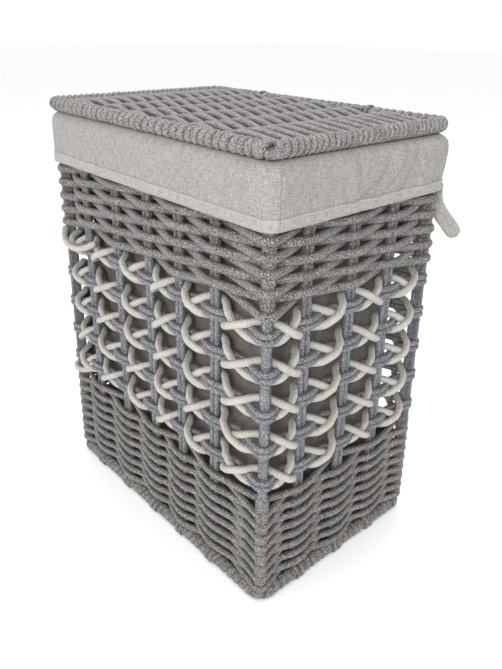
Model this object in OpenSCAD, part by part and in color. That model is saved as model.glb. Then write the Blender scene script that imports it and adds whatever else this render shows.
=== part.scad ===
// Rectangular laundry hamper with a hinged lid, woven in cord over a steel wire cage.
// The basket has a closely woven band at the foot and at the rim, an open lattice of grey and
// white cords between them, a woven floor, and a cloth liner folded out over the rim.
// Millimetres. Origin at the middle of the footprint, on the floor, +Z up, front at -Y.

/* [Basket] */
// Outside width of the foot rail
foot_w = 399; // [386:1:412]
// Outside depth of the foot rail
foot_d = 265; // [256:1:280]
// How far each side leans in by the rim, across the width
lean_w = 8; // [4:1:10]
// How far the front and back each lean in by the rim
lean_d = 6; // [3:1:8]
// Height of the middle of the rim rail
rim_z = 475.5; // [470:0.5:476]

/* [Cords and wires] */
// Diameter of the steel wire in the rails and posts
wire_d = 4; // [3:0.5:5]
// Diameter of the foot rail with its cord wrapping
foot_rail_d = 15; // [14:0.5:15]
// Diameter of the rim rail with its cord wrapping
rim_rail_d = 12; // [10:0.5:12]
// Diameter of a corner post with its cord wrapping
post_d = 12.4; // [11:0.2:12.6]
// Diameter of one cord of a stake
stake_cord_d = 7; // [6:0.2:7.2]
// Diameter of a lattice cord
lattice_cord_d = 6.8; // [6:0.2:7]
// Diameter of a floor or lid cord
panel_cord_d = 5; // [4:0.5:5]

/* [Weave] */
// Thickness of the woven walls
wall_t = 21; // [20:0.5:22]
// Height where the lower woven band ends
lower_band_top = 137; // [134:1:140]
// Height where the upper woven band starts
upper_band_bottom = 346; // [342:1:352]
// Rows of lattice cords between the bands
lattice_rows = 5; // [3:1:5]
// Height of one lattice row
lattice_pitch = 41.6; // [39:0.2:41.8]

/* [Lid] */
// Outside width of the lid
lid_w = 384; // [374:1:388]
// Outside depth of the lid
lid_d = 260; // [250:1:262]
// Diameter of the lid border with its cord wrapping
lid_border_d = 15.6; // [14:0.2:16]
// Number of cords that run from front to back in the lid
lid_stake_count = 6; // [4:2:8]

/* [Liner] */
// Thickness of the liner cloth
cloth_t = 1.5; // [1:0.1:1.6]
// How far the liner hangs down outside the rim
cuff_drop = 58; // [40:1:70]
// Length of the free tail of a liner tie
tie_tail = 30; // [20:1:34]

/* [Hidden] */
$fn = 48;
gap = 0.3;              // space left between pieces that only touch
small_gap = 0.1;        // space between a wire and the cord around it
past = 1;               // how far a cut runs past the face it opens

// Rails: half spans of their middle lines, and the radius of their corners
foot_half = [foot_w / 2 - foot_rail_d / 2, foot_d / 2 - foot_rail_d / 2];
foot_flat = 0.5;        // how far the weight presses the foot rail flat
foot_z = foot_rail_d / 2 - foot_flat;
rim_half = foot_half - [lean_w, lean_d];
rail_corner_r = 14;
corner_inset = rail_corner_r * (1 - sqrt(1/2));     // from a sharp corner to the arc's middle

// Stakes: the plane they stand in passes through the corner posts
stake_clear = 0.4;
front_stake_x = [-138, -71, -7, 49, 108];
side_stake_y = [-67, -2, 58];
stake_bottom = foot_rail_d + stake_clear;
stake_top = rim_z - rim_rail_d / 2 - stake_clear;

// Lattice: grey cords pass outside the posts, white cords inside the stakes
grey_offset = post_d / 2 + lattice_cord_d / 2 + gap;
grey_corner_r = 10;
white_offset = -(stake_cord_d / 2 + lattice_cord_d / 2 + gap);
white_corner_r = 8;
grey_pair_pitch = lattice_cord_d + gap;
white_pair_pitch = 3 * lattice_cord_d;

// Floor
floor_t = 10.4;
floor_z = foot_z + 1;
floor_half = foot_half - [foot_rail_d / 2 + gap, foot_rail_d / 2 + gap];
floor_bar_x = [-90, 80];
floor_stake_inset = 4;

// Lid: it turns about the middle of its rear border
lid_z = rim_z + rim_rail_d / 2 + cloth_t + 2 * gap + lid_border_d / 2;
lid_half = [lid_w / 2 - lid_border_d / 2, lid_d / 2 - lid_border_d / 2];
lid_corner_r = 8.6;
lid_panel_t = 15;
lid_panel_half = lid_half - [lid_border_d / 2 + gap, lid_border_d / 2 + gap];
lid_stake_pitch = 2 * lid_half[0] / (lid_stake_count + 1);
lid_stake_inset = 3;

// Hinges: each is a loop of cord round the rim rail and the lid border
hinge_x = [-88, 88];
hinge_cord_d = 4;
hinge_slot_w = 8;
hinge_ring_gap = 0.3;
hinge_r = max(rim_rail_d, lid_border_d) / 2 + hinge_ring_gap + hinge_cord_d / 2;
hinge_reach = [0, lid_half[1] - rim_half[1], lid_z - rim_z];    // from rail to border
hinge_low_z = rim_z - hinge_r - hinge_cord_d;       // where the notches for the loops start

// Liner
liner_inner_half = [rim_half[0] - 17.5, rim_half[1] - 17.5];
liner_outer_half = [rim_half[0] + 10, rim_half[1] + 10];
liner_top = rim_z + rim_rail_d / 2 + gap + cloth_t;
liner_floor_z = floor_z + floor_t / 2 + gap;
cuff_bottom = liner_top - cuff_drop;
liner_seam_gap = 0.2;
tie_w = 11;
tie_t = 1.2;
tie_root = [rim_half[0] + 1, cuff_bottom + 8];
tie_bend = [rim_half[0] + 5, cuff_bottom - 30];
tie_tail_angle = -38;

cord_grey = [0.55, 0.54, 0.52];
lattice_grey = [0.54, 0.56, 0.60];
cord_white = [0.86, 0.84, 0.79];
linen = [0.80, 0.78, 0.75];
steel = [0.62, 0.64, 0.66];

// Share of the way up from the foot rail to the rim rail
function rise(z) = (z - foot_z) / (rim_z - foot_z);

// Half spans of the stake plane at height z, through the middles of the posts
function stake_half(z) =
    foot_half - [corner_inset, corner_inset] - rise(z) * [lean_w, lean_d];

// The nearest tenth of a millimetre
function tenth(v) = [for (x = v) round(10 * x) / 10];

// Height of one cord of a lattice row, k = -1 below or 1 above the row's middle
function lattice_z(row, k, pitch) =
    tenth([upper_band_bottom - (row + 0.5) * lattice_pitch + k * pitch / 2])[0];

// A straight round bar from point a to point b
module bar(a, b, d) {
    v = b - a;
    length = norm(v);
    translate(a)
        rotate([0, acos(v[2] / length), atan2(v[1], v[0])])
            cylinder(h = length, d = d);
}

// A round cord laid in a level rectangle with round corners
module ring(half, z, corner_r, d) {
    inner = half - [corner_r, corner_r];
    for (side = [0, 1])
        mirror([side, 0, 0]) {
            bar([half[0], -inner[1], z], [half[0], inner[1], z], d);
            for (end = [0, 1])
                mirror([0, end, 0])
                    translate([inner[0], inner[1], z])
                        rotate_extrude(angle = 90)
                            translate([corner_r, 0])
                                circle(d = d);
        }
    for (end = [0, 1])
        mirror([0, end, 0])
            bar([-inner[0], half[1], z], [inner[0], half[1], z], d);
}

// Outline of a rectangle with round corners
module round_rect(half, r) {
    square([2 * half[0], 2 * (half[1] - r)], center = true);
    square([2 * (half[0] - r), 2 * half[1]], center = true);
    for (x = [-1, 1], y = [-1, 1])
        translate([x * (half[0] - r), y * (half[1] - r)])
            circle(r = r);
}

module box(low, high) {
    translate(low)
        cube(high - low);
}

// The leaning middle line of one corner post
module post_line(sx, sy, d, z0, z1) {
    a = stake_half(z0);
    b = stake_half(z1);
    bar([sx * a[0], sy * a[1], z0], [sx * b[0], sy * b[1], z1], d);
}

module all_posts(d, z0, z1) {
    for (sx = [-1, 1], sy = [-1, 1])
        post_line(sx, sy, d, z0, z1);
}

module floor_bars(d) {
    for (x = floor_bar_x)
        bar([x, -foot_half[1], floor_z], [x, foot_half[1], floor_z], d);
}

// Steel cage: two rings, four uprights and two bars under the floor
module wire_cage_shape(extra) {
    ring(foot_half, foot_z, rail_corner_r, wire_d + extra);
    ring(rim_half, rim_z, rail_corner_r, wire_d + extra);
    all_posts(wire_d + extra, foot_z, rim_z);
    floor_bars(wire_d + extra);
}

module wire_cage() {
    color(steel)
        wire_cage_shape(0);
}

module foot_rail() {
    color(cord_grey)
        difference() {
            ring(foot_half, foot_z, rail_corner_r, foot_rail_d);
            wire_cage_shape(2 * small_gap);
            box([-foot_w, -foot_d, -foot_rail_d], [foot_w, foot_d, 0]);
        }
}

module rim_rail() {
    color(cord_grey)
        difference() {
            ring(rim_half, rim_z, rail_corner_r, rim_rail_d);
            wire_cage_shape(2 * small_gap);
        }
}

// Cord wrapping of one corner post
module post(sx, sy) {
    color(cord_grey)
        difference() {
            post_line(sx, sy, post_d, stake_bottom, stake_top);
            post_line(sx, sy, wire_d + 2 * small_gap, foot_z, rim_z);
        }
}

// Twin cords side by side in the front or back wall
module stakes_x(side) {
    a = stake_half(stake_bottom)[1];
    b = stake_half(stake_top)[1];
    color(lattice_grey)
        for (x = front_stake_x, k = [-1, 1]) {
            cord_x = x + k * (stake_cord_d + small_gap) / 2;
            bar([cord_x, side * a, stake_bottom], [cord_x, side * b, stake_top], stake_cord_d);
        }
}

// Twin cords side by side in the left or right wall
module stakes_y(side) {
    a = stake_half(stake_bottom)[0];
    b = stake_half(stake_top)[0];
    color(lattice_grey)
        for (y = side_stake_y, k = [-1, 1]) {
            cord_y = y + k * (stake_cord_d + small_gap) / 2;
            bar([side * a, cord_y, stake_bottom], [side * b, cord_y, stake_top], stake_cord_d);
        }
}

// Plan of the slots and holes that let the stakes and posts lean through a band
module stake_slots(middle, lean) {
    slot_l = 2 * stake_cord_d + 3 * small_gap;
    slot_t = [for (k = lean) stake_cord_d + 2 * small_gap + k];
    for (side = [-1, 1]) {
        for (x = front_stake_x)
            translate([x, side * middle[1]])
                square([slot_l, slot_t[1]], center = true);
        for (y = side_stake_y)
            translate([side * middle[0], y])
                square([slot_t[0], slot_l], center = true);
    }
    for (sx = [-1, 1], sy = [-1, 1])
        translate([sx * middle[0], sy * middle[1]])
            circle(d = post_d + 2 * small_gap + lean[0]);
}

// A woven band: a wall all round, with a slot for each stake and post
module woven_band(z0, z1) {
    middle = stake_half((z0 + z1) / 2);
    half_t = [wall_t / 2, wall_t / 2];
    translate([0, 0, z0])
        linear_extrude(z1 - z0)
            difference() {
                round_rect(middle + half_t, rail_corner_r);
                round_rect(middle - half_t, rail_corner_r / 2);
                stake_slots(middle, stake_half(z0) - stake_half(z1));
            }
}

module lower_weave() {
    color(cord_grey)
        woven_band(foot_rail_d + gap, lower_band_top);
}

module upper_weave() {
    top = rim_z - rim_rail_d / 2 - gap;
    color(cord_grey)
        difference() {
            woven_band(upper_band_bottom, top);
            for (x = hinge_x)
                box([x - hinge_slot_w / 2, 0, hinge_low_z],
                    [x + hinge_slot_w / 2, foot_d, top + past]);
        }
}

// Two grey cords a row, one on the other, outside the stakes
module grey_lattice() {
    color(lattice_grey)
        for (row = [0 : lattice_rows - 1], k = [-1, 1]) {
            z = lattice_z(row, k, grey_pair_pitch);
            half = tenth(stake_half(z) + [grey_offset, grey_offset]);
            ring(half, z, grey_corner_r, lattice_cord_d);
        }
}

// Two white cords a row, above and below the grey pair, inside the stakes
module white_lattice() {
    color(cord_white)
        for (row = [0 : lattice_rows - 1], k = [-1, 1]) {
            z = lattice_z(row, k, white_pair_pitch);
            half = tenth(stake_half(z) + [white_offset, white_offset]);
            ring(half, z, white_corner_r, lattice_cord_d);
        }
}

// Twin cords that cross the floor in line with the front stakes
module floor_stake_bars(d, overrun) {
    reach = floor_half[1] - floor_stake_inset + overrun;
    for (x = front_stake_x, k = [-1, 1]) {
        cord_x = x + k * (panel_cord_d + small_gap) / 2;
        bar([cord_x, -reach, floor_z], [cord_x, reach, floor_z], d);
    }
}

module floor_stakes() {
    color(cord_grey)
        floor_stake_bars(panel_cord_d, 0);
}

module floor_weave() {
    color(cord_grey)
        difference() {
            translate([0, 0, floor_z - floor_t / 2])
                linear_extrude(floor_t)
                    round_rect(floor_half, rail_corner_r / 2);
            floor_stake_bars(panel_cord_d + 2 * small_gap, small_gap);
            floor_bars(wire_d + 2 * small_gap);
        }
}

// One liner panel in the front or back wall: inside face, fold over the rim, and cuff
module liner_panel_x(side) {
    in = liner_inner_half;
    out = liner_outer_half;
    reach = out[0] - cloth_t - liner_seam_gap;
    mirror([0, side < 0 ? 0 : 1, 0]) {
        box([-in[0], -in[1], liner_floor_z], [in[0], -in[1] + cloth_t, liner_top]);
        box([-reach, -out[1], liner_top - cloth_t], [reach, -in[1] + cloth_t, liner_top]);
        box([-reach, -out[1], cuff_bottom], [reach, -out[1] + cloth_t, liner_top]);
    }
}

// One liner panel in the left or right wall
module liner_panel_y(side) {
    in = liner_inner_half;
    out = liner_outer_half;
    reach = in[1] - cloth_t - liner_seam_gap;
    under_fold = liner_top - cloth_t - gap;
    mirror([side < 0 ? 0 : 1, 0, 0]) {
        box([-in[0], -reach, liner_floor_z], [-in[0] + cloth_t, reach, liner_top]);
        box([-out[0], -reach, liner_top - cloth_t], [-in[0] + cloth_t, reach, liner_top]);
        box([-out[0], -reach, cuff_bottom], [-out[0] + cloth_t, reach, liner_top]);
        box([-out[0], -out[1], cuff_bottom], [-out[0] + cloth_t, out[1], under_fold]);
    }
}

module liner_front() {
    color(linen)
        liner_panel_x(-1);
}

// The back panel has a slit at each hinge, through the fold
module liner_back() {
    color(linen)
        difference() {
            liner_panel_x(1);
            for (x = hinge_x)
                box([x - hinge_slot_w / 2, liner_inner_half[1] + past, hinge_low_z],
                    [x + hinge_slot_w / 2, liner_outer_half[1] + past, liner_top + past]);
        }
}

module liner_left() {
    color(linen)
        liner_panel_y(-1);
}

module liner_right() {
    color(linen)
        liner_panel_y(1);
}

module liner_bottom() {
    reach = liner_inner_half - [cloth_t + liner_seam_gap, cloth_t + liner_seam_gap];
    color(linen)
        box([-reach[0], -reach[1], liner_floor_z],
            [reach[0], reach[1], liner_floor_z + cloth_t]);
}

// A flat strip with round ends between points a and b
module strip(a, b, w) {
    v = b - a;
    translate(a)
        rotate(atan2(v[1], v[0]))
            translate([0, -w / 2])
                square([norm(v), w]);
    for (end = [a, b])
        translate(end)
            circle(d = w);
}

// Tape tie sewn behind the foot of the cuff at a back corner, its tail hanging outwards
module tie(side) {
    tip = tie_bend + tie_tail * [cos(tie_tail_angle), sin(tie_tail_angle)];
    color(linen)
        mirror([side < 0 ? 1 : 0, 0, 0])
            translate([0, liner_outer_half[1] + gap + tie_t, 0])
                rotate([90, 0, 0])
                    linear_extrude(tie_t) {
                        strip(tie_root, tie_bend, tie_w);
                        strip(tie_bend, tip, tie_w);
                    }
}

// Half of a ring of cord round the X axis, on the upper (side = 1) or lower side
module half_ring(side, d) {
    rotate([side * 90, 0, 90])
        rotate_extrude(angle = 180)
            translate([hinge_r, 0])
                circle(d = d);
}

// A loop of cord round the rim rail and the lid's rear border, leaning from one to the other
module hinge_loop(x) {
    height = norm(hinge_reach);
    translate([x, rim_half[1], rim_z])
        rotate([-atan2(hinge_reach[1], hinge_reach[2]), 0, 0]) {
            half_ring(-1, hinge_cord_d);
            translate([0, 0, height])
                half_ring(1, hinge_cord_d);
            for (side = [-1, 1])
                bar([0, side * hinge_r, 0], [0, side * hinge_r, height], hinge_cord_d);
        }
}

module hinge_loops() {
    color(cord_grey)
        for (x = hinge_x)
            hinge_loop(x);
}

module lid_wire() {
    color(steel)
        ring(lid_half, lid_z, lid_corner_r, wire_d);
}

module lid_border() {
    color(cord_grey)
        difference() {
            ring(lid_half, lid_z, lid_corner_r, lid_border_d);
            ring(lid_half, lid_z, lid_corner_r, wire_d + 2 * small_gap);
        }
}

module lid_stake_bars(d, overrun) {
    reach = lid_panel_half[1] - lid_stake_inset + overrun;
    for (i = [1 : lid_stake_count]) {
        x = -lid_half[0] + i * lid_stake_pitch;
        bar([x, -reach, lid_z], [x, reach, lid_z], d);
    }
}

module lid_stakes() {
    color(cord_grey)
        lid_stake_bars(panel_cord_d, 0);
}

// The woven panel of the lid, notched where the hinge loops pass
module lid_weave() {
    notch_depth = hinge_cord_d + 3;
    color(cord_grey)
        difference() {
            translate([0, 0, lid_z - lid_panel_t / 2])
                linear_extrude(lid_panel_t)
                    round_rect(lid_panel_half, rail_corner_r / 2);
            lid_stake_bars(panel_cord_d + 2 * small_gap, small_gap);
            for (x = hinge_x)
                box([x - hinge_slot_w / 2, lid_panel_half[1] - notch_depth, lid_z - lid_panel_t],
                    [x + hinge_slot_w / 2, lid_panel_half[1] + past, lid_z + lid_panel_t]);
        }
}

wire_cage();
foot_rail();
rim_rail();
post(-1, -1);  // post_front_left
post(1, -1);  // post_front_right
post(-1, 1);  // post_back_left
post(1, 1);  // post_back_right
stakes_x(-1);  // front_stakes
stakes_x(1);  // back_stakes
stakes_y(-1);  // left_stakes
stakes_y(1);  // right_stakes
lower_weave();
upper_weave();
grey_lattice();
white_lattice();
floor_stakes();
floor_weave();
liner_front();
liner_back();
liner_left();
liner_right();
liner_bottom();
tie(-1);  // tie_left
tie(1);  // tie_right
hinge_loops();
lid_wire();
lid_border();
lid_stakes();
lid_weave();
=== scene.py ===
"""The looks of a cord-woven laundry hamper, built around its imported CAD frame.

Lengths in this script are millimetres; make_piece turns them into metres. A cord is a tube swept
along a smooth path, and every woven cord passes in front of and behind the stakes in turn.
"""

import math
import random

import bpy
import numpy as np
from mathutils import Matrix, Vector


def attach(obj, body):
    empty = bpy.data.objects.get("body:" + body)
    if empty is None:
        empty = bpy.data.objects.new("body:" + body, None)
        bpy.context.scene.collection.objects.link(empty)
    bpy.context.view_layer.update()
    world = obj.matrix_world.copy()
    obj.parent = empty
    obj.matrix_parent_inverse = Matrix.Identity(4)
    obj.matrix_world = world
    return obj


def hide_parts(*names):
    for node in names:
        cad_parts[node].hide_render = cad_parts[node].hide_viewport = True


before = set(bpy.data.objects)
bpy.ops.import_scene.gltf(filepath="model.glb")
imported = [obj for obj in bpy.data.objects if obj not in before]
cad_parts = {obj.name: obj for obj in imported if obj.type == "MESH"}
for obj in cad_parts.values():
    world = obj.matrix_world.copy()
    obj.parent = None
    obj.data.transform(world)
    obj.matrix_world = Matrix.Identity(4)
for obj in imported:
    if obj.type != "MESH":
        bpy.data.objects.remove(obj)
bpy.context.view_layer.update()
MM = 0.001

# ---------------------------------------------------------------- sizes, as in the CAD source
FOOT_HALF = np.array([192.0, 125.0])
FOOT_Z = 7.0
RIM_HALF = np.array([184.0, 119.0])
RIM_Z = 475.5
LEAN = np.array([8.0, 6.0])
CORNER_INSET = 4.1
RAIL_CORNER = 14.0
STAKE_X = [-138, -71, -7, 49, 108]
STAKE_Y = [-67, -2, 58]
STAKE_BOTTOM = 15.4
STAKE_TOP = 469.1
LOWER_TOP = 137.0
UPPER_BOTTOM = 346.0
ROW_PITCH = 41.6
LATTICE_ROWS = 5
LID_HALF = np.array([184.2, 122.2])
LID_CORNER = 8.6
LID_Z = 491.4
HINGE_X = [-88, 88]
HINGE_R = 8.7


def stake_half(z):
    """Half spans of the plane of the stakes at height z."""
    rise = (z - FOOT_Z) / (RIM_Z - FOOT_Z)
    return FOOT_HALF - CORNER_INSET - rise * LEAN


# ---------------------------------------------------------------- camera
CAMERA_EYE = Vector((0.5618, -0.4822, 0.5872))
CAMERA_AZIMUTH = math.radians(47.67)
CAMERA_ELEVATION = math.radians(26.36)
CAMERA_ROLL = math.radians(1.12)


def make_camera():
    """A camera that looks down at the front right corner."""
    a, e, roll = CAMERA_AZIMUTH, CAMERA_ELEVATION, CAMERA_ROLL
    back = Vector((math.sin(a) * math.cos(e), -math.cos(a) * math.cos(e), math.sin(e)))
    right = (-back).cross(Vector((0, 0, 1))).normalized()
    up = right.cross(-back)
    right, up = (
        math.cos(roll) * right + math.sin(roll) * up,
        math.cos(roll) * up - math.sin(roll) * right,
    )
    data = bpy.data.cameras.new("camera")
    data.sensor_width = 36
    data.lens = 34.62
    camera = bpy.data.objects.new("camera", data)
    turn = Matrix((right, up, back)).transposed().to_4x4()
    camera.matrix_world = Matrix.Translation(CAMERA_EYE) @ turn
    bpy.context.scene.collection.objects.link(camera)
    bpy.context.scene.camera = camera


# ---------------------------------------------------------------- materials
def colour(r, g, b):
    """A linear colour from sRGB values of 0 to 255."""
    out = []
    for c in (r, g, b):
        c /= 255
        out.append(c / 12.92 if c <= 0.04045 else ((c + 0.055) / 1.055) ** 2.4)
    return (*out, 1)


class Nodes:
    """Short calls that add and join the nodes of one material."""

    def __init__(self, name):
        self.material = bpy.data.materials.new(name)
        self.material.use_nodes = True
        self.tree = self.material.node_tree
        self.shader = self.tree.nodes["Principled BSDF"]

    def add(self, kind, settings=None, **sockets):
        node = self.tree.nodes.new(kind)
        for key, value in (settings or {}).items():
            setattr(node, key, value)
        for key, value in sockets.items():
            self.put(node.inputs[key.replace("_", " ")], value)
        return node

    def put(self, socket, value):
        if isinstance(value, bpy.types.NodeSocket):
            self.tree.links.new(value, socket)
        else:
            socket.default_value = value

    def math(self, operation, a, b=0.0):
        node = self.add("ShaderNodeMath", {"operation": operation})
        self.put(node.inputs[0], a)
        self.put(node.inputs[1], b)
        return node.outputs[0]

    def noise(self, vector, scale, detail=2.0, roughness=0.5):
        node = self.add("ShaderNodeTexNoise", Vector=vector, Scale=scale, Detail=detail,
                        Roughness=roughness)
        return node.outputs["Fac"]

    def ramp(self, fac, stops):
        node = self.add("ShaderNodeValToRGB", Fac=fac)
        elements = node.color_ramp.elements
        while len(elements) < len(stops):
            elements.new(0.5)
        for element, (place, value) in zip(elements, stops):
            element.position = place
            element.color = value
        return node.outputs["Color"]

    def bump(self, height, distance):
        node = self.add("ShaderNodeBump", Height=height, Distance=distance)
        return node.outputs["Normal"]

    def finish(self, base, roughness, sheen=0.0, metallic=0.0, normal=None):
        self.put(self.shader.inputs["Base Color"], base)
        self.put(self.shader.inputs["Roughness"], roughness)
        self.put(self.shader.inputs["Metallic"], metallic)
        self.put(self.shader.inputs["Sheen Weight"], sheen)
        if normal is not None:
            self.put(self.shader.inputs["Normal"], normal)
        return self.material


BRAID_PITCH = 0.0030                # metres of cord to one turn of its braid


def cord_material(name, dark, middle, light, speckle, painted_crevice_shade):
    """Braided cord: a lattice of small crossing yarns, with a heathered colour.

    speckle is how strongly single yarns differ in shade; the last argument sets the painted shade
    that darkens a cord along the two sides where it lies against its neighbours.
    """
    n = Nodes(name)
    place = n.add("ShaderNodeTexCoord").outputs["Object"]
    uv = n.add("ShaderNodeUVMap", {"uv_map": "cord"}).outputs["UV"]
    split = n.add("ShaderNodeSeparateXYZ", Vector=uv)
    around, along = split.outputs["X"], split.outputs["Y"]
    turn = n.math("MULTIPLY", around, 2 * math.pi * 7)
    run = n.math("MULTIPLY", along, 2 * math.pi / BRAID_PITCH)
    lattice = n.math("MULTIPLY", n.math("SINE", turn), n.math("SINE", run))
    # painted shade: the cord's colour darkens along its two sides, where neighbouring cords touch
    flank_shade = n.math("ABSOLUTE", n.math("SINE", n.math("MULTIPLY", around, 2 * math.pi)))
    flank_shade = n.math("MULTIPLY", n.math("POWER", flank_shade, 5.0), painted_crevice_shade)
    fuzz = n.noise(place, 2600, 2)
    yarn = n.noise(place, 900, 3, 0.72)
    patch = n.noise(place, 55, 2)
    shade = n.math("ADD", n.math("MULTIPLY", n.math("SUBTRACT", yarn, 0.5), speckle), 0.5)
    # painted shade and highlight: the braid's grooves are coloured darker and its crowns lighter
    shade = n.math("ADD", shade, n.math("MULTIPLY", lattice, 0.1))
    shade = n.math("ADD", shade, n.math("MULTIPLY", n.math("SUBTRACT", patch, 0.5), 0.25))
    shade = n.math("SUBTRACT", shade, flank_shade)
    base = n.ramp(shade, [(0.0, dark), (0.5, middle), (1.0, light)])
    height = n.math("ADD", n.math("MULTIPLY", lattice, 0.5), n.math("MULTIPLY", yarn, 1.6))
    height = n.math("ADD", height, n.math("MULTIPLY", fuzz, 0.5))
    normal = n.bump(height, 0.0004)
    return n.finish(base, 0.93, sheen=0.1, normal=normal)


def linen_material(name, dark, middle, light):
    """Plain-weave linen: warp and weft threads of uneven thickness."""
    n = Nodes(name)
    place = n.add("ShaderNodeTexCoord").outputs["Object"]
    uv = n.add("ShaderNodeUVMap", {"uv_map": "cloth"}).outputs["UV"]
    split = n.add("ShaderNodeSeparateXYZ", Vector=uv)
    thread = 0.0021
    wander = n.math("MULTIPLY", n.noise(place, 90, 1), 3.0)
    across = n.math("ADD", n.math("MULTIPLY", split.outputs["X"], 2 * math.pi / thread), wander)
    along = n.math("ADD", n.math("MULTIPLY", split.outputs["Y"], 2 * math.pi / thread), wander)
    weave = n.math("MULTIPLY", n.math("SINE", across), n.math("SINE", along))
    warp_place = n.add("ShaderNodeMapping", Vector=uv, Scale=(800, 110, 1)).outputs["Vector"]
    weft_place = n.add("ShaderNodeMapping", Vector=uv, Scale=(140, 800, 1)).outputs["Vector"]
    slub = n.math("ADD", n.noise(warp_place, 1.0, 2), n.noise(weft_place, 1.0, 2))
    slub = n.math("SUBTRACT", slub, 1.0)
    fleck = n.math("SUBTRACT", n.noise(place, 1300, 3, 0.7), 0.5)
    patch = n.math("SUBTRACT", n.noise(place, 30, 2), 0.5)
    shade = n.math("ADD", 0.5, n.math("MULTIPLY", weave, 0.45))
    shade = n.math("ADD", shade, n.math("MULTIPLY", slub, 1.2))
    shade = n.math("ADD", shade, n.math("MULTIPLY", fleck, 1.5))
    shade = n.math("ADD", shade, n.math("MULTIPLY", patch, 0.15))
    base = n.ramp(shade, [(0.0, dark), (0.5, middle), (1.0, light)])
    height = n.math("ADD", n.math("MULTIPLY", weave, 0.5), n.math("MULTIPLY", slub, 0.8))
    height = n.math("ADD", height, fleck)
    normal = n.bump(height, 0.0003)
    return n.finish(base, 0.95, sheen=0.06, normal=normal)


def thread_material():
    """Sewing thread with a fine twist."""
    n = Nodes("sewing_thread")
    place = n.add("ShaderNodeTexCoord").outputs["Object"]
    twist = n.noise(place, 3000, 2)
    base = n.ramp(twist, [(0.3, colour(176, 171, 166)), (0.7, colour(206, 202, 197))])
    return n.finish(base, 0.8, normal=n.bump(twist, 0.0001))


def steel_material():
    """Drawn steel wire, dulled a little."""
    n = Nodes("drawn_steel_wire")
    place = n.add("ShaderNodeTexCoord").outputs["Object"]
    scratch = n.noise(place, 900, 3)
    base = n.ramp(scratch, [(0.3, colour(150, 152, 155)), (0.7, colour(186, 188, 190))])
    rough = n.math("ADD", 0.3, n.math("MULTIPLY", scratch, 0.2))
    return n.finish(base, rough, metallic=1.0, normal=n.bump(scratch, 0.00005))


def floor_material():
    n = Nodes("studio_floor")
    place = n.add("ShaderNodeTexCoord").outputs["Object"]
    grain = n.noise(place, 3, 2)
    base = n.ramp(grain, [(0.3, colour(250, 250, 250)), (0.7, colour(252, 252, 252))])
    return n.finish(base, 0.7)


# ---------------------------------------------------------------- paths
def lengths_along(p):
    return np.concatenate([[0], np.cumsum(np.linalg.norm(np.diff(p, axis=0), axis=1))])


def resample(p, step, closed):
    """The same line with its points about step apart."""
    q = np.vstack([p, p[:1]]) if closed else p
    s = lengths_along(q)
    n = max(3, int(round(s[-1] / step)))
    t = np.linspace(0, s[-1], n + 1)
    if closed:
        t = t[:-1]
    return np.stack([np.interp(t, s, q[:, k]) for k in range(q.shape[1])], 1)


def soften(p, spread, step, closed):
    """A line through control points, its corners rounded over about spread."""
    p = resample(np.array(p, float), 1.0, closed)
    k = np.arange(-int(3 * spread), int(3 * spread) + 1)
    w = np.exp(-((k / spread) ** 2) / 2)
    w /= w.sum()
    m = len(k) // 2
    if closed:
        wide = np.concatenate([p[-m:], p, p[:m]])
    else:
        m = min(m, len(p) - 1)
        middle = len(w) // 2
        w = w[middle - m : middle + m + 1]
        w = w / w.sum()
        wide = np.concatenate([2 * p[0] - p[m:0:-1], p, 2 * p[-1] - p[-2 : -m - 2 : -1]])
    out = np.stack([np.convolve(wide[:, i], w, "valid") for i in range(3)], 1)
    return resample(out, step, closed)


def unit(v):
    return v / np.maximum(np.linalg.norm(v, axis=-1, keepdims=True), 1e-9)


def tangents(p, closed):
    if closed:
        return unit(np.roll(p, -1, 0) - np.roll(p, 1, 0))
    return unit(np.gradient(p, axis=0))


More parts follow.
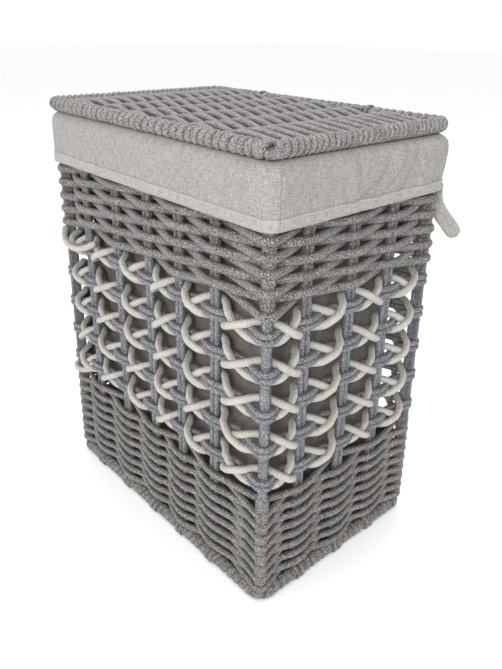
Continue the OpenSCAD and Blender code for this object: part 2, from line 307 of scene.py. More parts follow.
# ---------------------------------------------------------------- meshes
class Bundle:
    """Collects swept tubes and grids, then makes one Blender mesh of them."""

    def __init__(self):
        self.points, self.faces, self.uvs, self.slots = [], [], [], []
        self.count = 0

    def add(self, points, faces, uvs, slots):
        self.points.append(points)
        self.faces += [tuple(i + self.count for i in f) for f in faces]
        self.uvs.append(uvs)
        self.slots += list(slots)
        self.count += len(points)

    def tube(self, path, wide, thick, sides=10, closed=False, up=(0, 0, 1), slot=0, start=0.0):
        """A cord along path. wide is its half size along up, and thick across it.

        slot is a material index, or a function of the ring centres that gives one each.
        """
        path = np.array(path, float)
        n = len(path)
        up = np.broadcast_to(np.array(up, float), path.shape)
        wide = np.broadcast_to(np.array(wide, float), n)
        thick = np.broadcast_to(np.array(thick, float), n)
        t = tangents(path, closed)
        scale = np.ones(n)
        if not closed:
            angles = np.radians([80, 55, 27])
            reach = np.sin(angles)[:, None]
            head = path[0] - t[0] * thick[0] * 0.7 * reach
            tail = path[-1] + t[-1] * thick[-1] * 0.7 * reach[::-1]
            path = np.vstack([head, path, tail])
            up = np.vstack([up[:1]] * 3 + [up] + [up[-1:]] * 3)
            t = np.vstack([t[:1]] * 3 + [t] + [t[-1:]] * 3)
            wide = np.concatenate([[wide[0]] * 3, wide, [wide[-1]] * 3])
            thick = np.concatenate([[thick[0]] * 3, thick, [thick[-1]] * 3])
            scale = np.concatenate([np.cos(angles), scale, np.cos(angles)[::-1]])
            n += 6
        side = unit(np.cross(t, up))
        top = np.cross(side, t)
        a = 2 * np.pi * np.arange(sides) / sides
        ring = (
            path[:, None]
            + (thick * scale)[:, None, None] * np.cos(a)[None, :, None] * side[:, None]
            + (wide * scale)[:, None, None] * np.sin(a)[None, :, None] * top[:, None]
        )
        laps = n if closed else n - 1
        i = np.repeat(np.arange(laps), sides)
        j = np.tile(np.arange(sides), laps)
        i2, j2 = (i + 1) % n, (j + 1) % sides
        faces = np.stack([i * sides + j, i2 * sides + j, i2 * sides + j2, i * sides + j2], 1)
        s = lengths_along(np.vstack([path, path[:1]]) if closed else path) * MM + start
        u0, u1, v0, v1 = j / sides, (j + 1) / sides, s[i], s[i + 1]
        uvs = np.stack([u0, v0, u0, v1, u1, v1, u1, v0], 1).reshape(-1, 2)
        faces = [tuple(f) for f in faces.tolist()]
        if callable(slot):
            slots = slot((path[i] + path[i2]) / 2).astype(int).tolist()
        else:
            slots = [slot] * len(faces)
        if not closed:
            first, last = range(sides), range((n - 1) * sides, n * sides)
            faces += [tuple(first), tuple(reversed(last))]
            ends = np.stack([0.5 + 0.1 * np.cos(a), 0.5 + 0.1 * np.sin(a)], 1)
            uvs = np.vstack([uvs, ends, ends[::-1]])
            slots += [slots[0], slots[-1]]
        self.add(ring.reshape(-1, 3), faces, uvs, slots)

    def grid(self, points, uv, closed=False, keep=None, row_slots=None):
        """A surface over rows and columns of points; keep says which of its faces are made.

        row_slots gives the material index of each row of faces.
        """
        rows, columns = points.shape[:2]
        laps = columns if closed else columns - 1
        faces, uvs, slots = [], [], []
        for r in range(rows - 1):
            for c in range(laps):
                if keep is not None and not keep[r, c]:
                    continue
                c2 = (c + 1) % columns
                faces.append((r * columns + c, r * columns + c2, (r + 1) * columns + c2,
                              (r + 1) * columns + c))
                uvs += [uv[r, c], uv[r, c + 1], uv[r + 1, c + 1], uv[r + 1, c]]
                slots.append(row_slots[r] if row_slots is not None else 0)
        self.add(points.reshape(-1, 3), faces, np.array(uvs), slots)


def make_piece(name, bundle, materials, body, replaces=(), uv_name="cord"):
    """The Blender object of a bundle, riding on its body."""
    mesh = bpy.data.meshes.new(name)
    points = np.vstack(bundle.points) * MM
    mesh.from_pydata(points.tolist(), [], bundle.faces)
    layer = mesh.uv_layers.new(name=uv_name)
    layer.data.foreach_set("uv", np.vstack(bundle.uvs).astype(np.float32).ravel())
    for material in materials:
        mesh.materials.append(material)
    mesh.polygons.foreach_set("material_index", np.array(bundle.slots, np.int32))
    mesh.polygons.foreach_set("use_smooth", np.ones(len(bundle.faces), bool))
    mesh.update()
    piece = bpy.data.objects.new(name, mesh)
    bpy.context.scene.collection.objects.link(piece)
    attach(piece, body)
    if replaces:
        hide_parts(*replaces)
    return piece


# ---------------------------------------------------------------- the wall's weave
def crossings(z):
    """Every stake and post met going round the wall at height z, from the front left post.

    Each is (x, y, the outward angle of the wall before it, and of the wall after it).
    """
    hx, hy = stake_half(z)
    front, right, back, left = -90, 0, 90, 180
    out = [(-hx, -hy, left - 360, front)]
    out += [(x, -hy, front, front) for x in STAKE_X]
    out += [(hx, -hy, front, right)]
    out += [(hx, y, right, right) for y in STAKE_Y]
    out += [(hx, hy, right, back)]
    out += [(x, hy, back, back) for x in STAKE_X[::-1]]
    out += [(-hx, hy, back, left)]
    out += [(-hx, y, left, left) for y in STAKE_Y[::-1]]
    return out


COUNT = len(crossings(0))


def compass(angle):
    """The outward direction and the way along the wall at an angle in degrees."""
    a = math.radians(angle)
    return np.array([math.cos(a), math.sin(a)]), np.array([-math.sin(a), math.cos(a)])


def at_crossing(k, z, offset, half_crest, round_post):
    """Points of a cord as it passes crossing k, offset out from the stake plane."""
    x, y, before, after = crossings(z)[k]
    centre = np.array([x, y])
    if before == after:
        out, along = compass(before)
        return [(*(centre + out * offset + along * s), z) for s in (-half_crest, half_crest)]
    if offset > 0:
        angles = np.linspace(before + 6, after - 6, 5)
        return [(*(centre + compass(a)[0] * round_post), z) for a in angles]
    out, along = compass((before + after) / 2)
    return [(*(centre - out * round_post + along * s), z) for s in (-5, 5)]


def between(k, z, share, offset, lift=0.0):
    """A point between crossings k and k + 1, offset out from the wall's plane."""
    ring = crossings(z)
    x0, y0, _, wall = ring[k]
    x1, y1 = ring[(k + 1) % COUNT][:2]
    out = compass(wall)[0]
    p = np.array([x0, y0]) * (1 - share) + np.array([x1, y1]) * share + out * offset
    return (*p, z + lift)


def weft_row(z, parity, rng, round_post, corner_shift=0.0):
    """One woven cord, all the way round: outside one crossing and inside the next."""
    points = []
    for k in range(COUNT):
        outside = (k + parity) % 2 == 0
        height = z + rng.uniform(-0.45, 0.45)
        if k == 6:
            height += corner_shift
        offset = (6.9 if outside else -6.9) + rng.uniform(-0.2, 0.2)
        points += at_crossing(k, height, offset, 6.5, round_post if outside else 9.9)
    return soften(points, 2.3, 3.0, True)


def split_path(path, keep):
    """The open runs of a closed path's points that are kept."""
    start = int(np.argmin(keep))
    path, keep = np.roll(path, -start, 0), np.roll(keep, -start)
    runs, run = [], []
    for p, k in zip(path, keep):
        if k:
            run.append(p)
        elif run:
            runs.append(np.array(run))
            run = []
    if run:
        runs.append(np.array(run))
    return [r for r in runs if len(r) > 4]


def woven_band(name, rows, corner_shifts, round_post, half_wide, material, seed):
    """A band of single cords over and under the stakes. The top row stops at the hinge loops."""
    rng = random.Random(seed)
    bundle = Bundle()
    for i, z in enumerate(rows):
        path = weft_row(z, i, rng, round_post, corner_shifts.get(i, 0.0))
        wide = half_wide + rng.uniform(-0.12, 0.12)
        start = rng.random()
        if z > RIM_Z - HINGE_R - 3:
            near = np.min([np.abs(path[:, 0] - x) for x in HINGE_X], 0)
            for run in split_path(path, (path[:, 1] < 0) | (near > 6.5)):
                bundle.tube(run, wide, 3.5, 10, start=start)
        else:
            bundle.tube(path, wide, 3.5, 10, closed=True, start=start)
    make_piece(name, bundle, [material], "basket", [name])


def grey_lattice(material):
    """Pairs of cords in front of every stake, pulled back between them by the white cords."""
    rng = random.Random(11)
    bundle = Bundle()
    for row in range(LATTICE_ROWS):
        z = UPPER_BOTTOM - (row + 0.5) * ROW_PITCH
        lifts = [rng.uniform(-1.2, 1.2) for _ in range(COUNT)]
        dips = [rng.uniform(-3.2, -1.6) for _ in range(COUNT)]
        for half in (-3.45, 3.45):
            points = []
            for k in range(COUNT):
                height = z + lifts[k] + half
                points += at_crossing(k, height, 6.9, 6.0, 8.7)
                points.append(between(k, z + half * 0.97, 0.5, dips[k]))
            bundle.tube(soften(points, 4.2, 3.0, True), 3.45, 3.35, 12, closed=True,
                        start=rng.random())
    make_piece("grey_lattice", bundle, [material], "basket", ["grey_lattice"])


def falling_cord_on_top(row, bay):
    """Whether the white cord that falls to the right passes over the one that rises."""
    flipped = row == 3 and not 6 <= bay <= 9
    return (bay % 2 == 0) != flipped


def white_lattice(material):
    """Two cords a row that pass behind the stakes and cross outside the grey pair in each bay."""
    rng = random.Random(5)
    bundle = Bundle()
    for row in range(LATTICE_ROWS):
        z = UPPER_BOTTOM - (row + 0.5) * ROW_PITCH
        drift = [rng.uniform(-1.3, 1.3) for _ in range(COUNT)]
        shift = [rng.uniform(-0.04, 0.04) for _ in range(COUNT)]
        for cord in (0, 1):
            points = []
            for k in range(COUNT):
                high = 1 if (k + cord) % 2 == 0 else -1
                falls = high == 1
                on_top = falls == falling_cord_on_top(row, k)
                bulge = (13.2 if on_top else 6.6) + rng.uniform(-0.4, 0.6)
                base = z + drift[k]
                next_base = z + drift[(k + 1) % COUNT]
                mid = 0.5 + shift[k]
                points += at_crossing(k, base + 11.0 * high, -7.2, 4.0, 9.4)
                points += [
                    between(k, base, 0.19, -2.5, 10.5 * high),
                    between(k, base, 0.30, 0.62 * bulge, 7.6 * high),
                    between(k, (base + next_base) / 2, mid, bulge, 0.0),
                    between(k, next_base, 0.70, 0.62 * bulge, -7.6 * high),
                    between(k, next_base, 0.81, -2.5, -10.5 * high),
                ]
            bundle.tube(soften(points, 3.3, 2.6, True), 4.1, 4.0, 12, closed=True,
                        start=rng.random())
    make_piece("white_lattice", bundle, [material], "basket", ["white_lattice"])


# Where the white cords are joined at the front left corner: at the top of the lattice, in front
# of the first stake, and at its foot, round the outside of the post
WHITE_JOINS = [
    [(-184, -126, 341), (-177, -132, 333), (-165, -135, 328), (-150, -136, 326.5),
     (-135, -135.5, 328), (-122, -133, 332), (-113, -125, 338)],
    [(-188, -84, 150), (-198, -98, 144), (-200, -112, 140.5), (-196, -127, 139.5),
     (-181, -132, 140), (-166, -130, 143.5), (-152, -124, 149), (-146, -115, 152)],
]


def white_joins(material):
    bundle = Bundle()
    for points in WHITE_JOINS:
        bundle.tube(soften(points, 4.0, 2.6, False), 4.0, 4.0, 12)
    make_piece("white_joins", bundle, [material], "basket")


def colour_by_height(centres):
    """1, the lattice's blue-grey, between the two bands, and 0 in them."""
    z = centres[:, 2]
    return (z > LOWER_TOP + 4) & (z < UPPER_BOTTOM + 1)


def stake_line(x_at, y_at):
    """A stake's middle line, from functions of height that give its place."""
    heights = np.linspace(STAKE_BOTTOM, STAKE_TOP, 88)
    return np.array([(x_at(z), y_at(z), z) for z in heights])


def stakes(name, side, along_x, materials, seed):
    """The twin cords of every stake in one wall."""
    rng = random.Random(seed)
    bundle = Bundle()
    for place in STAKE_X if along_x else STAKE_Y:
        for k in (-1, 1):
            phase, sway = rng.uniform(0, 6.28), rng.uniform(0.1, 0.35)

            def wander(z):
                return place + k * 3.5 + sway * math.sin(z / 37 + phase)

            if along_x:
                line = stake_line(wander, lambda z: side * stake_half(z)[1])
            else:
                line = stake_line(lambda z: side * stake_half(z)[0], wander)
            bundle.tube(line, 3.5, 3.5, 12, up=(along_x, not along_x, 0),
                        slot=colour_by_height, start=rng.random())
    make_piece(name, bundle, materials, "basket", [name])


# Half thickness of a post inside each woven band, and between them at the front right and elsewhere
POST_LOWER, POST_UPPER = 7.0, 6.6
POST_TIGHT, POST_LOOSE = 4.9, 6.2
POST_EASE = 8


def wrapped_post(name, sx, sy, materials, seed):
    """A corner post bound from end to end with fine cord, its turns close together.

    The front right post is bound more tightly than the others between the woven bands.
    """
    open_part = POST_TIGHT if (sx, sy) == (1, -1) else POST_LOOSE
    rng = random.Random(seed)
    bundle = Bundle()
    pitch, per_turn = 4.0, 4
    turns = int((STAKE_TOP - STAKE_BOTTOM) / pitch)
    heights, radii = [], []
    for i in range(turns * per_turn):
        share = (i % per_turn) / per_turn
        heights.append(STAKE_BOTTOM + i * pitch / per_turn)
        if i % per_turn == 0:
            swell = rng.uniform(-0.12, 0.12)
        core = np.interp(heights[-1],
                         [LOWER_TOP, LOWER_TOP + POST_EASE, UPPER_BOTTOM - POST_EASE, UPPER_BOTTOM],
                         [POST_LOWER, open_part, open_part, POST_UPPER])
        radii.append(core + swell + 0.6 * math.sin(math.pi * share))
    shift = open_part - POST_TIGHT
    line = np.array([(sx * (stake_half(z)[0] + shift), sy * (stake_half(z)[1] + shift), z)
                     for z in heights])
    radii = np.array(radii)
    bundle.tube(line, radii, radii, 18, up=(sx, -sy, 0), slot=colour_by_height)
    make_piece(name, bundle, materials, "basket", [name])


# ---------------------------------------------------------------- wrapped rails
def rail_path(half, z, corner, step=1.0):
    """The points and outward normals of a level rectangle with round corners."""
    inner = np.array(half) - corner
    points, normals = [], []
    for sx, sy, start in ((1, -1, -90), (1, 1, 0), (-1, 1, 90), (-1, -1, 180)):
        for a in np.linspace(start, start + 90, 13):
            out = compass(a)[0]
            points.append([*(np.array([sx, sy]) * inner + out * corner), z])
            normals.append([*out, 0])
    both = resample(np.hstack([points, normals]), step, True)
    return both[:, :3], unit(both[:, 3:])


def wrapped_rail(name, half, z, corner, outer_r, widths, layer, material, body, seed, tight,
                 floor=None):
    """A rail wound with turns of cord, standing in for the CAD piece of the same name.

    widths(point, rng) gives the width of the next turn, and layer is half a turn's thickness.
    """
    rng = random.Random(seed)
    points, normals = rail_path(half, z, corner)
    s = lengths_along(np.vstack([points, points[:1]]))
    total = s[-1]
    edges = [0.0]
    while edges[-1] < total:
        where = points[int(edges[-1] / total * len(points)) % len(points)]
        edges.append(edges[-1] + widths(where, rng))
    edges = np.array(edges) * total / edges[-1]
    turns = len(edges) - 1
    per_turn = 16
    phase = np.linspace(0, turns, turns * per_turn, endpoint=False)
    place = np.interp(phase, np.arange(turns + 1), edges)
    local = np.gradient(place) * per_turn
    index = place / total * len(points)
    i = index.astype(int) % len(points)
    share = (index - index.astype(int))[:, None]
    centre = points[i] * (1 - share) + points[(i + 1) % len(points)] * share
    out = unit(normals[i] * (1 - share) + normals[(i + 1) % len(points)] * share)
    along = np.cross(np.array([0, 0, 1.0]), out)
    swell = np.interp(phase, np.arange(turns + 1), [rng.uniform(-0.3, 0.3) for _ in edges])
    radius = (outer_r - layer + swell)[:, None]
    angle = 2 * np.pi * phase[:, None]
    path = centre + radius * (np.cos(angle) * out + np.sin(angle) * np.array([0, 0, 1.0]))
    bend = np.linalg.norm(np.gradient(out, axis=0), axis=1) / np.gradient(place)
    spread = np.clip(1 + radius[:, 0] * np.cos(angle[:, 0]) * bend, 0.5, 2.2)
    bundle = Bundle()
    bundle.tube(path, tight * local * spread, layer, 10, closed=True, up=along)
    if floor is not None:
        bundle.points[0][:, 2] = np.maximum(bundle.points[0][:, 2], floor)
    make_piece(name, bundle, [material], body, [name])


FOOT_LOOP_R = 7.3


def foot_rail(material):
    """The foot rail's winding, with each stake's cords brought round it as raised loops."""
    def width(where, rng):
        return rng.uniform(8.5, 11.5)

    wrapped_rail("foot_rail", FOOT_HALF, FOOT_Z, RAIL_CORNER, 7.5, width, 2.8, material,
                 "basket", 21, 0.53, floor=0.0)
    bundle = Bundle()
    rng = random.Random(22)
    for x, y, before, after in crossings(FOOT_Z):
        if before != after:
            continue
        out, along = compass(before)
        rail = (np.array([x, y]) * np.abs(along)
                + out * FOOT_HALF[0 if abs(out[0]) > 0.5 else 1])
        for k in (-1, 1):
            lean = rng.uniform(-1.5, 1.5)
            line = []
            for a in np.linspace(118, -200, 30):
                a = math.radians(a)
                side = along * (k * 3.6 + lean * math.sin(a))
                p = rail + side + out * FOOT_LOOP_R * math.cos(a)
                line.append((*p, FOOT_Z + FOOT_LOOP_R * math.sin(a)))
            bundle.tube(np.array(line), 3.5, 2.0, 10, up=(*along, 0), start=rng.random())
    for part in bundle.points:
        part[:, 2] = np.maximum(part[:, 2], 0.0)
    make_piece("foot_loops", bundle, [material], "basket")


def rim_rail(material):
    """The rim rail's winding, under the liner."""
    def width(where, rng):
        return rng.uniform(6.4, 7.6)

    wrapped_rail("rim_rail", RIM_HALF, RIM_Z, RAIL_CORNER, 6.0, width, 2.0, material,
                 "basket", 23, 0.54)


# ---------------------------------------------------------------- the floor
def floor_weave(material):
    """Flattened cords across the floor, over and under the stakes that cross it."""
    rng = random.Random(31)
    under = Bundle()
    for x in STAKE_X:
        for k in (-1, 1):
            line = np.array([(x + k * 2.6, y, 8.0) for y in np.linspace(-113, 113, 50)])
            under.tube(line, 2.5, 2.5, 10, start=rng.random())
    make_piece("floor_stakes", under, [material], "basket", ["floor_stakes"])
    bundle = Bundle()
    rows = 29
    for i in range(rows):
        y = -113.5 + 227 * i / (rows - 1)
        points = [(-181, y, 8.0)]
        for k, x in enumerate(STAKE_X):
            up = 3.7 if (k + i) % 2 == 0 else -3.7
            points += [(x - 5.5, y, 8.0 + up), (x + 5.5, y, 8.0 + up)]
        points.append((181, y, 8.0))
        bundle.tube(soften(points, 3.0, 3.6, False), 3.6, 1.5, 8, up=(0, 1, 0),
                    start=rng.random())
    make_piece("floor_weave", bundle, [material], "basket", ["floor_weave"])


# ---------------------------------------------------------------- the lid
# How far the first and last rows of the lid weave lie from its middle
LID_LAST_ROW = 110.5
LID_STAKE_X = [-LID_HALF[0] + (i + 1) * 2 * LID_HALF[0] / 7 for i in range(6)]


def lid(material):
    """The lid: a wrapped border, cords from front to back, and cords woven across them."""
    def width(where, rng):
        if abs(where[0]) > LID_HALF[0] - 4:
            return rng.uniform(6.6, 8.2)
        return rng.choice([9.2, 10.2, 11.2, 12.2])

    wrapped_rail("lid_border", LID_HALF, LID_Z, LID_CORNER, 8.1, width, 3.9, material, "lid",
                 41, 0.5)
    end = Bundle()
    end.tube(np.array([(180.5, -118.5, 489.5), (183.5, -121.5, 489.3), (186.4, -124.4, 489.0)]),
             4.3, 4.0, 14)
    make_piece("lid_border_end", end, [material], "lid")

    rng = random.Random(42)
    under = Bundle()
    for x in LID_STAKE_X:
        line = np.array([(x, y, LID_Z) for y in np.linspace(-113, 113, 60)])
        under.tube(line, 3.4, 2.4, 10, up=(1, 0, 0), start=rng.random())
    make_piece("lid_stakes", under, [material], "lid", ["lid_stakes"])

    bundle = Bundle()
    rows = 27
    for i in range(rows):
        y = -LID_LAST_ROW + 2 * LID_LAST_ROW * i / (rows - 1)
        points = [(-178.0, y, LID_Z + 1)]
        for k, x in enumerate(LID_STAKE_X):
            up = (4.6 if (k + i) % 2 == 0 else -4.6) + rng.uniform(-0.3, 0.3)
            shift = rng.uniform(-0.5, 0.5)
            points += [(x - 6.0, y + shift, LID_Z + up), (x + 6.0, y + shift, LID_Z + up)]
        points.append((178.0, y, LID_Z + 1))
        path = soften(points, 3.6, 3.0, False)
        wide = 4.5 + 1.3 * (path[:, 2] - LID_Z) / 4.6
        start = rng.random()
        if y > 98:
            near = np.min([np.abs(path[:, 0] - x) for x in HINGE_X], 0)
            ring = np.vstack([[(-999, y, 0)], path])
            keep = np.concatenate([[False], near > 7.5])
            for run in split_path(ring, keep):
                bundle.tube(run, 4.3, 3.5, 10, up=(0, 1, 0), start=start)
        else:
            bundle.tube(path, wide, 3.5, 10, up=(0, 1, 0), start=start)
    make_piece("lid_weave", bundle, [material], "lid", ["lid_weave"])


def hinge_loops(material):
    """Closed loops of cord round the rim rail and the lid's rear border."""
    rail = np.array([RIM_HALF[1], RIM_Z])
    border = np.array([LID_HALF[1], LID_Z])
    rise = unit(border - rail)
    across = np.array([rise[1], -rise[0]])
    bundle = Bundle()
    for x in HINGE_X:
        points = []
        for middle, start in ((border, 0), (rail, 180)):
            for a in np.radians(np.linspace(start, start + 180, 19)):
                y, z = middle + HINGE_R * (math.cos(a) * across + math.sin(a) * rise)
                points.append((x, y, z))
        path = resample(np.array(points), 1.6, True)
        bundle.tube(path, 2.6, 0.6, 12, closed=True, up=(1, 0, 0))
    make_piece("hinge_loops", bundle, [material], "basket", ["hinge_loops"])


# ---------------------------------------------------------------- the liner
LINER_IN = np.array([166.5, 101.5])
CUFF_BOTTOM = 426.0
HEM_TOP = 437.0
SLIT = (84.0, 92.0)
SLIT_LOW = 459.0
CORE = np.array([140.0, 80.0])  # beyond this the columns spread to reach the corners
END = LINER_IN - 11             # where the inside corners start to turn
CORNER_ANGLES = [15, 30, 45, 60, 72, 79, 81, 82.5, 84, 86]
SEAM_ANGLE = 82.5
# The cloth's path up the inside, over the rim and down outside, as (offset out, height)
OVER_RIM = [(0.0, 462.0), (1.2, 469.0), (4.5, 476.0), (10.0, 480.8), (14.0, 482.2), (17.5, 482.5),
            (20.5, 481.6), (23.0, 479.4), (24.6, 476.2), (25.2, 472.0)]


def liner_rows():
    """The cloth's profile as (offset out, height), from the bottom inside to the hem."""
    rows = [(0.0, z) for z in np.linspace(14.6, 455.0, 50)]
    rows += OVER_RIM
    rows += [(25.2 + 1.8 * (472 - z) / 46, z) for z in np.linspace(468.5, CUFF_BOTTOM, 15)]
    return rows


def liner_columns():
    """Columns round the plan as (wall angle, place along it, corner angle or None)."""
    out = []
    for wall, core, end in ((-90, CORE[0], END[0]), (0, CORE[1], END[1]),
                            (90, CORE[0], END[0]), (180, CORE[1], END[1])):
        places = list(np.arange(-core, core + 1, 2.5))
        if wall == 90:
            places = [math.copysign(SLIT[0], x) if abs(x) == 85 else x for x in places]
            places = [math.copysign(SLIT[1], x) if abs(x) == 92.5 else x for x in places]
        ends = [core + (end - core) * k / 3 for k in (1, 2, 3)]
        places = [-e for e in ends[::-1]] + places + ends
        out += [(wall, place, None) for place in places]
        out += [(wall, end, a) for a in CORNER_ANGLES]
    return out


# Folds of the cuff as (wall angle, half width, height, points (place, z) from the rim down)
CUFF_FOLDS = [
    (0, 4.5, 3.4, [(45, 483), (42, 471), (33, 454), (6, 434)]),
    (0, 5.0, -2.6, [(30, 483), (28, 468), (14, 450), (-12, 434)]),
    (0, 4.0, 3.0, [(34, 476), (27, 464), (-2, 449), (-31, 434)]),
    (0, 4.5, 4.2, [(84, 483), (83, 467), (83, 450), (80, 438)]),
    (0, 3.2, 4.6, [(54, 483), (60, 480), (72, 470), (78, 462)]),
    (0, 4.0, -3.6, [(66, 483), (68, 468), (62, 452), (52, 436)]),
    (0, 5.5, 2.2, [(-38, 483), (-28, 473), (-22, 460), (-24, 440)]),
    (0, 6.0, -2.2, [(-20, 483), (-14, 470), (-10, 456)]),
    (0, 6.0, 1.5, [(-94, 483), (-93, 460), (-92, 434)]),
    (0, 5.0, 1.4, [(-66, 483), (-60, 460), (-64, 438)]),
    (-90, 8.0, 1.6, [(100, 483), (94, 460), (98, 434)]),
    (-90, 10.0, 1.4, [(22, 483), (18, 460), (20, 434)]),
    (-90, 9.0, -1.4, [(-12, 483), (-16, 455), (-14, 438)]),
    (-90, 9.0, 1.6, [(-70, 483), (-74, 455), (-72, 434)]),
]


def cuff_puff(wall, place, z):
    """How far the cuff stands out where it is slack: mostly towards the back right corner."""
    drop = min(1.0, max(0.0, (483 - z) / 57))
    swell = math.sin(math.pi * (drop / 0.8) ** 0.6) if drop < 0.8 else 0.0
    if wall == 0:
        return swell * (1.0 + 4.2 / (1 + math.exp(-(place - 40) / 18)))
    return swell * (0.7 if wall == -90 else 1.2)


def liner_offset(wall, place, z, inside, extra):
    """The slack and folds of the cloth, outwards in millimetres."""
    folds = 0.0
    if inside:
        depth = min(1.0, (470 - z) / 90) if z < 470 else 0.0
        for _, centre, slant, width, height in (f for f in extra[0] if f[0] == wall):
            at = centre + slant * (470 - z)
            folds -= abs(height) * depth * math.exp(-(((place - at) / width) ** 2))
        return folds
    if z >= 482:
        return 0.0
    grow = min(1.0, (483 - z) / 8)
    for _, width, height, points in (f for f in CUFF_FOLDS + extra[1] if f[0] == wall):
        places, heights = zip(*points[::-1])
        at = np.interp(z, heights, places)
        fade = min(1.0, max(0.0, (z - heights[0] + 12) / 16))
        folds += height * grow * fade * math.exp(-(((place - at) / width) ** 2))
    return folds + cuff_puff(wall, place, z)


def liner_point(column, offset, z, extra, inside, lift=0.0):
    """A point of the liner on one column of its plan. lift moves it off the cloth, outwards."""
    wall, place, angle = column
    half = LINER_IN + offset
    corner = 11 + 2 * offset / 27
    long_wall = wall in (-90, 90)
    core, end = (CORE[0], END[0]) if long_wall else (CORE[1], END[1])
    across = half[1] if long_wall else half[0]
    reach = (half[0] if long_wall else half[1]) - corner
    out, along = compass(wall)
    soft = liner_offset(wall, place, z, inside, extra) + lift
    if angle is None:
        spot = place
        if abs(place) > core:
            share = (abs(place) - core) / (end - core)
            spot = math.copysign(core + share * (reach - core), place)
        p = out * (across + soft) + along * spot
    else:
        next_wall = 180 if wall == 90 else (wall + 90 if wall < 180 else -90)
        share = angle / 90
        soft = soft * (1 - share) + share * (
            liner_offset(next_wall, -END[1 if long_wall else 0], z, inside, extra) + lift)
        if abs(angle - SEAM_ANGLE) < 2 and not inside:
            soft -= 1.5 if angle == SEAM_ANGLE else 0.4
        turn = compass(wall + angle)[0]
        p = out * (across - corner) + along * reach + turn * (corner + soft)
    return [p[0], p[1], z]


def liner(material, shaded_inner_material, hem_material, thread):
    """The bag's side cloth, its hem and stitching, its bottom, and its two ties."""
    rng = random.Random(51)
    inner, outer = [], []
    for wall, span in ((-90, 152), (0, 88), (90, 152), (180, 88)):
        place = -span
        while place < span:
            inner.append((wall, place, rng.uniform(-0.06, 0.06), rng.uniform(9, 20),
                          rng.uniform(1.5, 6.5)))
            place += rng.uniform(16, 34)
        if wall in (90, 180):
            for _ in range(7):
                at = rng.uniform(-span, span)
                outer.append((wall, rng.uniform(4, 9), rng.uniform(-1.8, 2.4),
                              [(at, 483), (at + rng.uniform(-9, 9), 458),
                               (at + rng.uniform(-9, 9), 434)]))
    extra = (inner, outer)
    columns = liner_columns()
    rows = liner_rows()
    inside = [int(z < 463 and offset == 0) for offset, z in rows]
    points = np.array([[liner_point(c, o, z, extra, i) for c in columns]
                       for (o, z), i in zip(rows, inside)])
    closed = np.concatenate([points, points[:, :1]], 1)
    across = np.cumsum(np.linalg.norm(np.diff(closed[-1], axis=0), axis=1))
    u = np.concatenate([[0], across]) * MM
    v = lengths_along(np.array([(o, z, 0) for o, z in rows])) * MM
    uv = np.stack(np.broadcast_arrays(u[None, :], v[:, None]), -1)
    keep = np.ones((len(rows) - 1, len(columns)), bool)
    for c, (wall, place, angle) in enumerate(columns[:-1]):
        if wall == 90 and angle is None:
            middle = (place + columns[c + 1][1]) / 2
            if SLIT[0] < abs(middle) < SLIT[1]:
                for r in range(len(rows) - 1):
                    keep[r, c] = not min(rows[r][1], rows[r + 1][1]) > SLIT_LOW
    bundle = Bundle()
    # rows inside the wall take the second, darker linen: painted shade for the bag's shaded inside
    bundle.grid(points, uv, closed=True, keep=keep, row_slots=inside)
    side = make_piece("liner_side", bundle, [material, shaded_inner_material], "basket",
                      ["liner_front", "liner_back", "liner_left", "liner_right"], "cloth")
    thicken(side, 0.9)

    hem_rows = [(27.0 - 1.8 * (z - CUFF_BOTTOM) / 47, z) for z in np.linspace(HEM_TOP, 425.6, 6)]
    lifts = [0.65, 0.95, 0.95, 0.95, 0.95, 0.8]
    points = np.array([[liner_point(c, o, z, extra, False, lift) for c in columns]
                       for (o, z), lift in zip(hem_rows, lifts)])
    hem = Bundle()
    uv = np.stack(np.broadcast_arrays(u[None, :] + 0.31, np.linspace(0.7, 0.7116, 6)[:, None]), -1)
    hem.grid(points, uv, closed=True)
    hem = make_piece("liner_hem", hem, [hem_material], "basket", (), "cloth")
    thicken(hem, 0.7)

    stitches = Bundle()
    line = np.array([liner_point(c, 26.6, HEM_TOP - 1.6, extra, False, 1.45) for c in columns])
    line = resample(line, 0.5, True)
    for start in range(0, len(line) - 6, 7):
        stitches.tube(line[start : start + 5], 0.28, 0.28, 5)
    stitches = make_piece("liner_hem_stitches", stitches, [thread], "basket")

    base = Bundle()
    xs, ys = np.linspace(-164.5, 164.5, 54), np.linspace(-99.5, 99.5, 34)
    points = np.array([[(x, y, 14.1 + 0.35 * math.sin(x / 17 + 2 * math.sin(y / 31))
                         * math.cos(y / 23 + x / 90)) for x in xs] for y in ys])
    uv = np.stack(np.meshgrid(xs * MM, ys * MM), -1)
    base.grid(points, uv)
    # the bottom takes the darker linen too: painted shade inside the bag
    base = make_piece("liner_bottom", base, [shaded_inner_material], "basket",
                      ["liner_bottom"], "cloth")
    thicken(base, 0.8)
    for name, sign in (("tie_left", -1), ("tie_right", 1)):
        tie(name, sign, hem_material)


TIE_HALF_WIDTH = 8.2
TIE_STEP = 2.0
TIE_THICK = 1.4


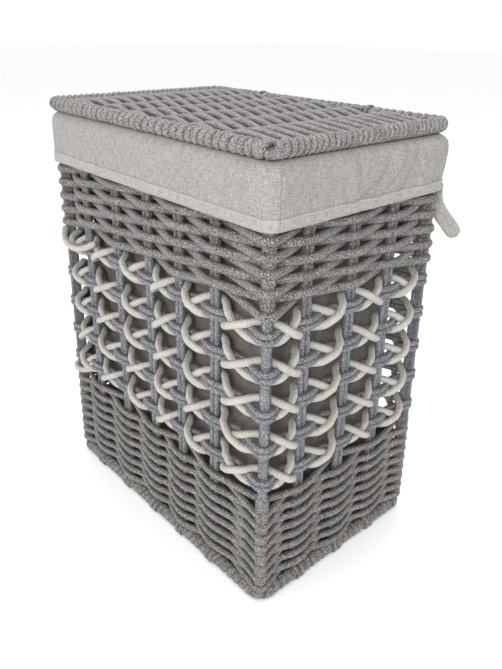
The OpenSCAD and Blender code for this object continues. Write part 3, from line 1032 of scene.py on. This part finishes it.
def tie(name, sign, material):
    """A tape sewn behind the hem at a back corner, its free end twisted towards the front."""
    spine = soften([(181, 129.9, 431), (180, 130.4, 416), (183, 132, 404), (192, 133, 395),
                    (203, 133, 386), (213, 133, 377)], 6, TIE_STEP, False)
    t = tangents(spine, False)
    twist = np.linspace(0, 2.8, len(spine)).clip(0, 1)[:, None]
    flat = unit(np.cross(t, np.array([0, 1.0, 0])))
    turned = unit(np.cross(np.array([0.49, -0.83, 0.26]), t))
    across = unit(flat * (1 - twist) + turned * twist)
    rows = []
    n = len(spine)
    for i, (p, a) in enumerate(zip(spine, across)):
        left = (n - 1 - i) * TIE_STEP
        half = TIE_HALF_WIDTH * math.sqrt(max(0.02, 1 - max(0.0, 1 - left / TIE_HALF_WIDTH) ** 2))
        cup = 0.5 * math.sin(i / n * 3.1)
        rows.append([p + a * half * k + np.array([0, cup * (k * k - 0.5), 0])
                     for k in np.linspace(-1, 1, 7)])
    points = np.array(rows)
    points[..., 0] *= sign
    uv = np.stack(np.meshgrid(np.linspace(0, 0.0164, 7), np.arange(n) * 0.002), -1)
    bundle = Bundle()
    bundle.grid(points, uv)
    piece = make_piece(name, bundle, [material], "basket", [name], "cloth")
    thicken(piece, TIE_THICK)


def thicken(piece, thickness):
    """Gives a sheet of cloth its thickness, half to each side."""
    solid = piece.modifiers.new("thickness", "SOLIDIFY")
    solid.thickness = thickness * MM
    solid.offset = 0


def build():
    """Everything, in order."""
    make_camera()
    # the last number of each cord material sets its painted shade along the sides where cords touch
    taupe = cord_material("taupe_braided_cord", colour(52, 49, 46), colour(97, 94, 92),
                          colour(171, 167, 164), 5.0, 0.3)
    lid_cord = cord_material("lid_braided_cord", colour(60, 58, 56), colour(122, 118, 117),
                             colour(178, 175, 172), 3.4, 0.45)
    blue = cord_material("blue_grey_braided_cord", colour(54, 55, 58), colour(101, 102, 106),
                         colour(165, 165, 169), 5.0, 0.4)
    white = cord_material("white_braided_cord", colour(118, 112, 104), colour(180, 176, 169),
                          colour(205, 202, 198), 2.2, 0.25)
    steel = steel_material()
    for node in ("wire_cage", "lid_wire"):
        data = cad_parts[node].data
        data.materials.clear()
        data.materials.append(steel)

    lower_rows = [18.8 + i * 7.3 for i in range(15)] + [130.5]
    upper_rows = [349.5 + i * 8.4 for i in range(15)]
    woven_band("lower_weave", lower_rows, {}, 7.4, 4.1, taupe, 1)
    woven_band("upper_weave", upper_rows, {0: -2.5, 2: 2.7, 4: 3.9, 6: 2.1}, 8.9, 4.6,
               taupe, 2)
    grey_lattice(blue)
    white_lattice(white)
    white_joins(white)
    for name, side, along_x in (("front_stakes", -1, True), ("back_stakes", 1, True),
                                ("left_stakes", -1, False), ("right_stakes", 1, False)):
        stakes(name, side, along_x, [taupe, blue], len(name))
    for name, sx, sy in (("post_front_left", -1, -1), ("post_front_right", 1, -1),
                         ("post_back_left", -1, 1), ("post_back_right", 1, 1)):
        wrapped_post(name, sx, sy, [taupe, blue], len(name))
    foot_rail(taupe)
    rim_rail(taupe)
    floor_weave(taupe)
    lid(lid_cord)
    hinge_loops(lid_cord)
    linen = linen_material("liner_linen", colour(109, 106, 103), colour(147, 144, 141),
                           colour(172, 169, 166))
    # a darker, browner copy of the linen: painted shade for the inside and bottom of the bag
    inside = linen_material("liner_linen_inside_painted_shade", colour(81, 74, 69), colour(116, 109, 104),
                            colour(139, 133, 128))
    hem = linen_material("liner_hem_linen", colour(121, 118, 115), colour(157, 153, 150),
                         colour(178, 175, 171))
    liner(linen, inside, hem, thread_material())


def studio():
    """A pale floor, a pale world and soft lights."""
    mesh = bpy.data.meshes.new("floor")
    s = 12.0
    mesh.from_pydata([(-s, -s, 0), (s, -s, 0), (s, s, 0), (-s, s, 0)], [], [(0, 1, 2, 3)])
    floor = bpy.data.objects.new("floor", mesh)
    floor.location.z = -0.0005
    mesh.materials.append(floor_material())
    bpy.context.scene.collection.objects.link(floor)

    world = bpy.data.worlds.new("studio")
    world.use_nodes = True
    world.node_tree.nodes["Background"].inputs["Color"].default_value = (1, 1, 1, 1)
    world.node_tree.nodes["Background"].inputs["Strength"].default_value = 1.0
    bpy.context.scene.world = world

    def softbox(name, place, target, size, power):
        data = bpy.data.lights.new(name, "AREA")
        data.shape = "DISK"
        data.size = size
        data.energy = power
        light = bpy.data.objects.new(name, data)
        light.location = place
        aim = Vector(target) - Vector(place)
        light.rotation_euler = aim.to_track_quat("-Z", "Y").to_euler()
        bpy.context.scene.collection.objects.link(light)

    softbox("key", (0.2, -1.7, 1.8), (0, 0, 0.25), 1.2, 6.5)
    softbox("side", (1.3, -1.6, 1.1), (0, 0, 0.35), 0.5, 24)
    softbox("top", (-0.3, 0.2, 2.4), (0, 0, 0.4), 1.6, 18)


build()
studio()
scene = bpy.context.scene
scene.view_settings.view_transform = "Standard"
bpy.context.view_layer.update()
